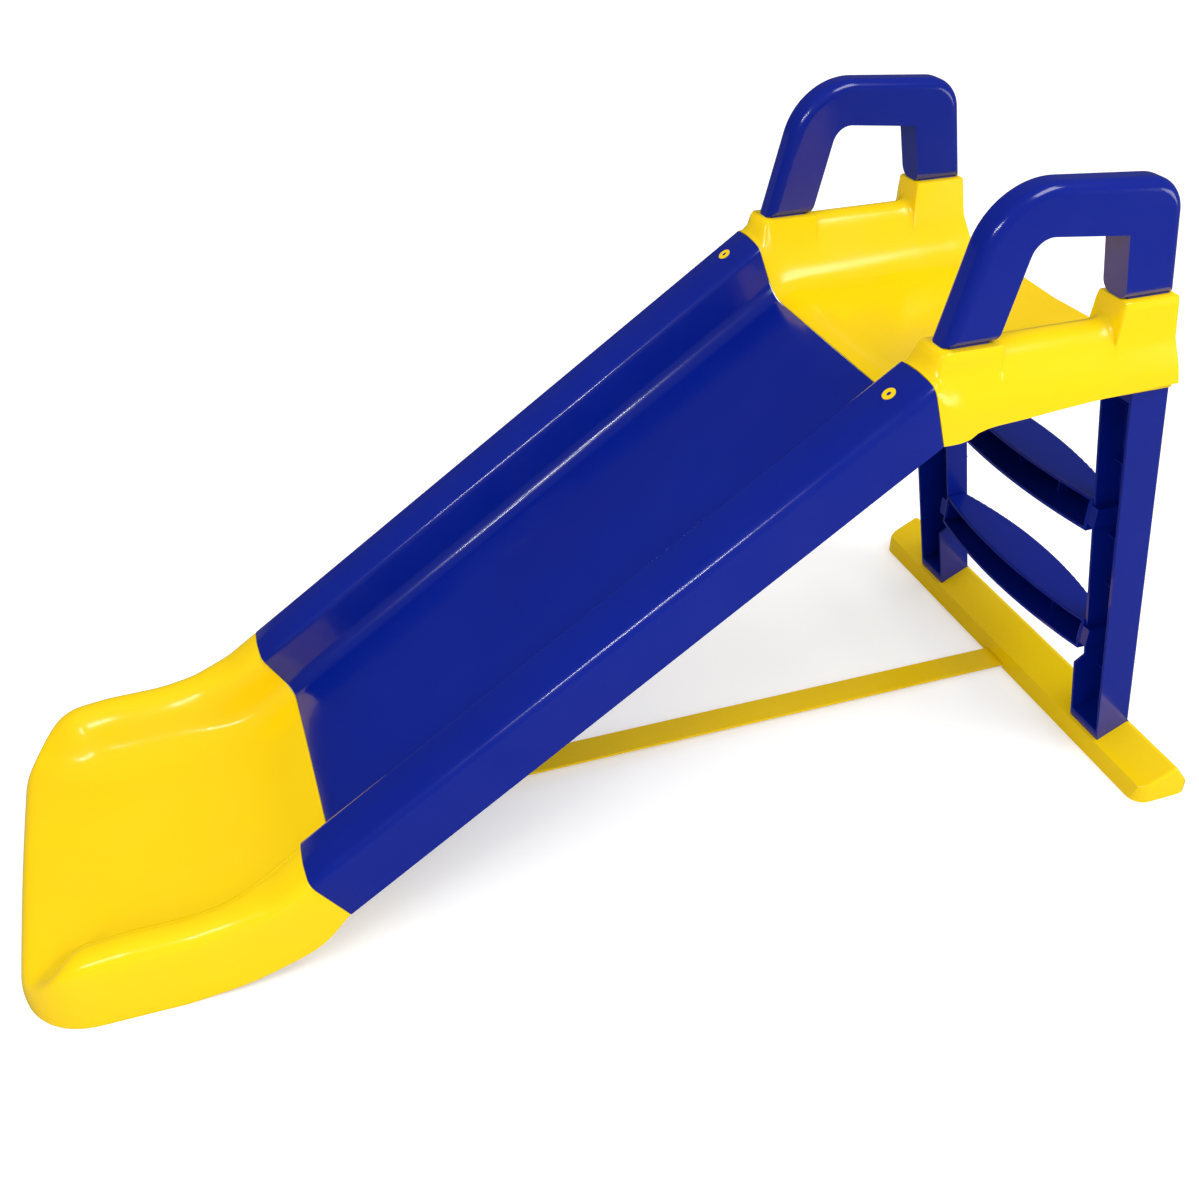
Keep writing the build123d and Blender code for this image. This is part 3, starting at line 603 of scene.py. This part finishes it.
# ------------------------------------------------------------------ platform
# Profile of the platform from the hem over the side wall to the deck, as (y, z); the hem's
# height and the deck's rise come on top. It starts from the chute's own section at the joint.
WALL = [
    (237.0, 0.0), (236.0, 0.35), (234.0, 0.75), (231.5, 583.0), (227.5, 596.0), (221.5, 607.5),
    (213.5, 617.0), (205.0, 623.5), (197.0, 626.0), (189.5, 624.0), (183.0, 617.0), (176.5, 605.0),
    (169.5, 591.5), (162.0, 577.5), (154.5, 566.0), (146.0, 557.5), (136.0, 552.8), (122.0, 551.0),
]
HEAD = [
    (240.5, -66.0), (239.7, -48.0), (238.7, -30.0), (237.6, -13.0), (236.3, -6.0), (232.0, -1.6),
    (222.0, 1.2), (204.0, 2.6), (190.0, 1.8), (180.0, 0.5), (172.0, -3.0), (167.0, -9.0),
    (163.0, -20.0), (158.5, -35.0), (153.0, -47.0), (146.0, -53.8), (135.0, -57.6), (120.0, -58.5),
]
DECK_Y = (90.0, 60.0, 30.0, 0.0)  # profile points across the deck
DECK_Z = 551.0  # at the front
JOINT_PLAY = 0.05
RAIL_REACH = 14.0  # length over which the rail turns level, and how much more the bed takes
BED_REACH = 46.0
SETTLED_X = -333.0  # from here to the rear the profile keeps its shape
REAR_X = -85.0  # rear end of the side walls, at REAR_Z
REAR_Z = 557.0
REAR_LEAN = 0.181  # towards the slide, per millimetre of height
REAR_FLARE = 3.0  # rise of the deck's rear corners
LIP_X = -70.0
# Heights of the hem and of the deck along X.
HEM_LINE = [
    (-364, 529.5), (-350, 532.0), (-332, 538.0), (-312, 544.0), (-272, 547.0), (-182, 554.0),
    (-85, 557.0),
]
DECK_LINE = [(-368, DECK_Z), (-340, DECK_Z), (-250, 553.0), (-150, 555.5), (-69, 557.5)]
# Where a handle stands, some points of the wall's profile move to here, as point: (y, z).
# Heights of zero and below are down from the rim of the socket.
SOCKET = {
    5: (224.6, 606.0), 6: (223.9, -11.0), 7: (223.6, -2.2), 8: (222.0, -0.3),
    9: (181.2, 0.0), 10: (179.4, -0.7), 11: (178.6, -3.4), 12: (176.8, 605.6),
}
FRONT_RIM, REAR_RIM = 627.4, 651.4
SOCKETS_PART_X = -245  # between the front and the rear socket
# Share of the socket's profile along X, for the front and the rear socket.
FRONT_SHARE = [
    (-385, 0.0), (-381, 0.35), (-377, 0.74), (-373, 0.95), (-367, 1.0), (-304.6, 1.0),
    (-303.2, 0.93), (-301.2, 0.1), (-299.6, 0.0),
]
REAR_SHARE = [
    (-182, 0.0), (-174, 0.04), (-170, 0.13), (-168.3, 0.3), (-166.9, 0.88), (-165.8, 0.98),
    (-163.5, 1.0),
]


def wall_point(k, x):
    """Y and Z of profile point k of the platform at x, once the profile has settled."""
    hem = spline(HEM_LINE, x)
    rise = spline(DECK_LINE, x) - DECK_Z
    y, z = WALL[k] if k < len(WALL) else (DECK_Y[k - len(WALL)], DECK_Z)
    if k < WALL_TOP:
        return y, hem + z * (WALL[WALL_TOP][1] - hem)
    # The rise of the deck fades out up the wall.
    z += rise * smooth((600.0 - z) / 40.0)
    if k not in SOCKET:
        return y, z
    front = x < SOCKETS_PART_X
    rim = FRONT_RIM if front else REAR_RIM
    share = spline(FRONT_SHARE if front else REAR_SHARE, x)
    at_y, at_z = SOCKET[k]
    at_z += rim if at_z <= 0 else 0
    return y + (at_y - y) * share, z + (at_z - z) * share


def rear_end(k, z):
    """X at which profile point k ends at the rear: the wall leans, the deck runs on as a lip."""
    lean = REAR_X - (z - REAR_Z) * REAR_LEAN
    deck = smooth((k - 13) / 4.0)
    return mix(lean, LIP_X, deck)


# Sections: shares of the way from the joint to SETTLED_X, places along X, closest at the edges
# of the sockets, and shares of the way on to the rear.
HEAD_STEPS = (0.0, 0.04, 0.09, 0.15, 0.22, 0.3, 0.4, 0.5, 0.62, 0.74, 0.87, 1.0)
MIDDLE_X = (
    -325, -315, -308, -304.6, -303.9, -303.2, -302.2, -301.2, -300.4, -299.6, -290, -270, -250,
    -230, -210, -190, -182, -178, -174, -170, -168.3, -167.6, -166.9, -165.8, -163.5, -150, -135,
    -120,
)
REAR_STEPS = (0.25, 0.5, 0.7, 0.85, 0.95, 1.0)
# Profile points joined across the open rear end of a side wall.
REAR_WALL = (
    (8, 9, 10, 7), (7, 10, 11, 6), (6, 11, 12, 5), (5, 12, 13, 4), (4, 13, 14, 3),
    (3, 14, 15, 0, 1, 2),
)


def platform_line(k):
    """Points of profile point k from the chute joint to the rear."""
    y, h = HEAD[k] if k < len(HEAD) else (DECK_Y[k - len(HEAD)], -BED_DEPTH)
    x0, _, z0 = on_slope(head_along(h) + JOINT_PLAY, y, h)
    # The line leaves the joint at the slope of the chute, on the bed, and turns level over reach.
    start_slope = math.tan(SLOPE) * smooth((k - 9) / 5.0)
    reach = RAIL_REACH + BED_REACH * (smooth((k - 12) / 3.0) + smooth((4 - k) / 2.0))
    line = []
    for u in HEAD_STEPS:
        x = mix(x0, SETTLED_X, u)
        y1, z1 = wall_point(k, x)
        part = min((x - x0) / reach, 1.0)
        run = (part**3 - 2 * part**2 + part) * reach * start_slope
        ease = smooth(part)
        line.append((x, mix(y, y1, ease), z0 + run + (z1 - z0) * ease))
    for x in MIDDLE_X:
        line.append((x, *wall_point(k, x)))
    y1, z1 = wall_point(k, REAR_X)
    x_end = rear_end(k, z1)
    flare = smooth((k - 14) / 3.0) * smooth((22 - k) / 4.0) * REAR_FLARE
    for u in REAR_STEPS:
        line.append((mix(MIDDLE_X[-1], x_end, u), y1, z1 + flare * u * u))
    return line


def build_platform():
    columns = [platform_line(k) for k in range(len(WALL) + len(DECK_Y))]
    rows = []
    for i in range(len(columns[0])):
        half = [column[i] for column in columns]
        rows.append(half + [(x, -y, z) for x, y, z in half[-2::-1]])
    verts, faces = sweep(rows, close_ring=False, caps=False)
    # Rear walls between the outer and the inner side of each side wall.
    last = len(verts) - len(rows[0])
    for first, step in ((last, 1), (len(verts) - 1, -1)):
        faces += [[first + step * k for k in face] for face in REAR_WALL]
    piece = new_piece("platform_shell", verts, faces, YELLOW, ["platform"], 70.0)
    add_skin(piece, 1.2, even=False)


build_platform()


# The block between an upright and the side wall above it.
SEAT_FRONT = -168.0
SEAT_Y = (163.5, 230.0)
SEAT_SETBACK = 1.5  # from the rear of the side walls
SEAT_CHAMFER = 1.5
SEAT_ROWS = ((549.3, 1.2), (549.7, 0.4), (550.6, 0.0), (576.0, 0.0))  # height, inset


def build_seat(name, side):
    """The block under a rear socket that the top of a ladder upright stands against."""
    y0, y1 = SEAT_Y
    rows = []
    for z, inset in SEAT_ROWS:
        x0 = SEAT_FRONT + inset
        x1 = REAR_X - (z - REAR_Z) * REAR_LEAN - SEAT_SETBACK - inset
        low, high, c = y0 + inset, y1 - inset, SEAT_CHAMFER
        loop = [
            (x0 + c, low), (x1 - c, low), (x1, low + c), (x1, high - c),
            (x1 - c, high), (x0 + c, high), (x0, high - c), (x0, low + c),
        ]
        rows.append([(x, side * y, z) for x, y in loop])
    verts, faces = sweep(rows)
    new_piece(name, verts, faces, YELLOW, [], 50.0)


build_seat("rear_seat_left", -1)
build_seat("rear_seat_right", 1)

# ------------------------------------------------------------------ softened CAD nodes
# Each node with the rounding of its edges.
for name, width in (
    ("handle_left", 1.0),
    ("handle_right", 1.0),
    ("ladder_upright_left", 1.0),
    ("ladder_upright_right", 1.0),
    ("lower_step", 1.0),
    ("upper_step", 1.0),
    ("tie_bar", 0.8),
    ("chute_lock_bolts", 0.5),
    ("ladder_foot", 1.2),
):
    softened(name, width)

# ------------------------------------------------------------------ stage
mesh = bpy.data.meshes.new("floor")
bm = bmesh.new()
bmesh.ops.create_grid(bm, x_segments=1, y_segments=1, size=30)
bm.to_mesh(mesh)
bm.free()
floor = bpy.data.objects.new("floor", mesh)
bpy.context.collection.objects.link(floor)
floor_mat, floor_tree, floor_shader = new_material("floor_white")
floor_shader.inputs["Roughness"].default_value = 0.8
floor_shader.inputs["Specular IOR Level"].default_value = 0.1
floor_shader.inputs["Emission Color"].default_value = (1, 1, 1, 1)
mesh.materials.append(floor_mat)
bpy.context.scene.view_settings.view_transform = "Standard"


def by_ray(tree, kind, otherwise, value, target):
    """Feed target with value for rays of a kind, and with the other value for all other rays."""
    rays = tree.nodes.new("ShaderNodeLightPath")
    choice = tree.nodes.new("ShaderNodeMapRange")
    choice.inputs["To Min"].default_value = otherwise
    choice.inputs["To Max"].default_value = value
    tree.links.new(rays.outputs[kind], choice.inputs["Value"])
    tree.links.new(choice.outputs["Result"], target)


# Shiny surfaces mirror a darker studio than the one that lights them.
by_ray(floor_tree, "Is Glossy Ray", 0.9, 0.14, floor_shader.inputs["Base Color"])
by_ray(floor_tree, "Is Camera Ray", 0.0, 0.32, floor_shader.inputs["Emission Strength"])

# The studio is brighter overhead and towards the ladder's near side.
world = bpy.data.worlds.new("studio")
bpy.context.scene.world = world
world.use_nodes = True
sky = world.node_tree.nodes["Background"]
way = world.node_tree.nodes.new("ShaderNodeTexCoord")
side = world.node_tree.nodes.new("ShaderNodeVectorMath")
side.operation = "DOT_PRODUCT"
side.inputs[1].default_value = (0.42, -0.5, 0.76)
bright = world.node_tree.nodes.new("ShaderNodeMapRange")
bright.inputs["From Min"].default_value = -1.0
bright.inputs["To Min"].default_value = 0.34
bright.inputs["To Max"].default_value = 1.25
world.node_tree.links.new(way.outputs["Generated"], side.inputs[0])
world.node_tree.links.new(side.outputs["Value"], bright.inputs["Value"])
world.node_tree.links.new(bright.outputs["Result"], sky.inputs["Color"])
by_ray(world.node_tree, "Is Glossy Ray", 0.9, 0.1, sky.inputs["Strength"])


def area_light(name, place, target, size, power):
    """A rectangular lamp facing target, in metres and watts."""
    data = bpy.data.lights.new(name, "AREA")
    data.shape = "RECTANGLE"
    data.size, data.size_y = size
    data.energy = power
    lamp = bpy.data.objects.new(name, data)
    lamp.location = place
    lamp.rotation_mode = "QUATERNION"
    lamp.rotation_quaternion = (Vector(target) - Vector(place)).to_track_quat("-Z", "Y")
    bpy.context.collection.objects.link(lamp)


# Two soft lamps, and three narrow windows that draw the bright streaks on the rails.
area_light("key", (0.6, -1.6, 3.0), (-0.6, 0, 0.3), (1.4, 1.0), 26)
area_light("fill", (1.4, -1.2, 0.7), (-0.2, 0, 0.1), (0.8, 0.5), 4)
for number, (shift_x, shift_y) in enumerate(((-0.34, 0.22), (0.0, 0.0), (0.34, -0.22))):
    place = (-2.25 + shift_x, -1.5 + shift_y, 2.2)
    area_light(f"window_{number}", place, (-0.9, 0, 0.3), (0.08, 0.36), 5.0)

# ------------------------------------------------------------------ camera
CAMERA_PLACE = (-1.0586, -1.1943, 1.1555)
AZIMUTH, ELEVATION, ROLL = (math.radians(a) for a in (-18.923, 35.617, -0.276))
LENS_MM = 38.27
SENSOR_MM = 36.0

cam_data = bpy.data.cameras.new("camera")
cam_data.sensor_width = SENSOR_MM
cam_data.lens = LENS_MM
cam = bpy.data.objects.new("camera", cam_data)
bpy.context.collection.objects.link(cam)
bpy.context.scene.camera = cam
back = Vector(
    (
        math.sin(AZIMUTH) * math.cos(ELEVATION),
        -math.cos(AZIMUTH) * math.cos(ELEVATION),
        math.sin(ELEVATION),
    )
)
level_right = (-back).cross(Vector((0, 0, 1))).normalized()
level_up = level_right.cross(-back)
right = math.cos(ROLL) * level_right + math.sin(ROLL) * level_up
up = -math.sin(ROLL) * level_right + math.cos(ROLL) * level_up
turn = Matrix((right, up, back)).transposed()
cam.matrix_world = Matrix.Translation(CAMERA_PLACE) @ turn.to_4x4()
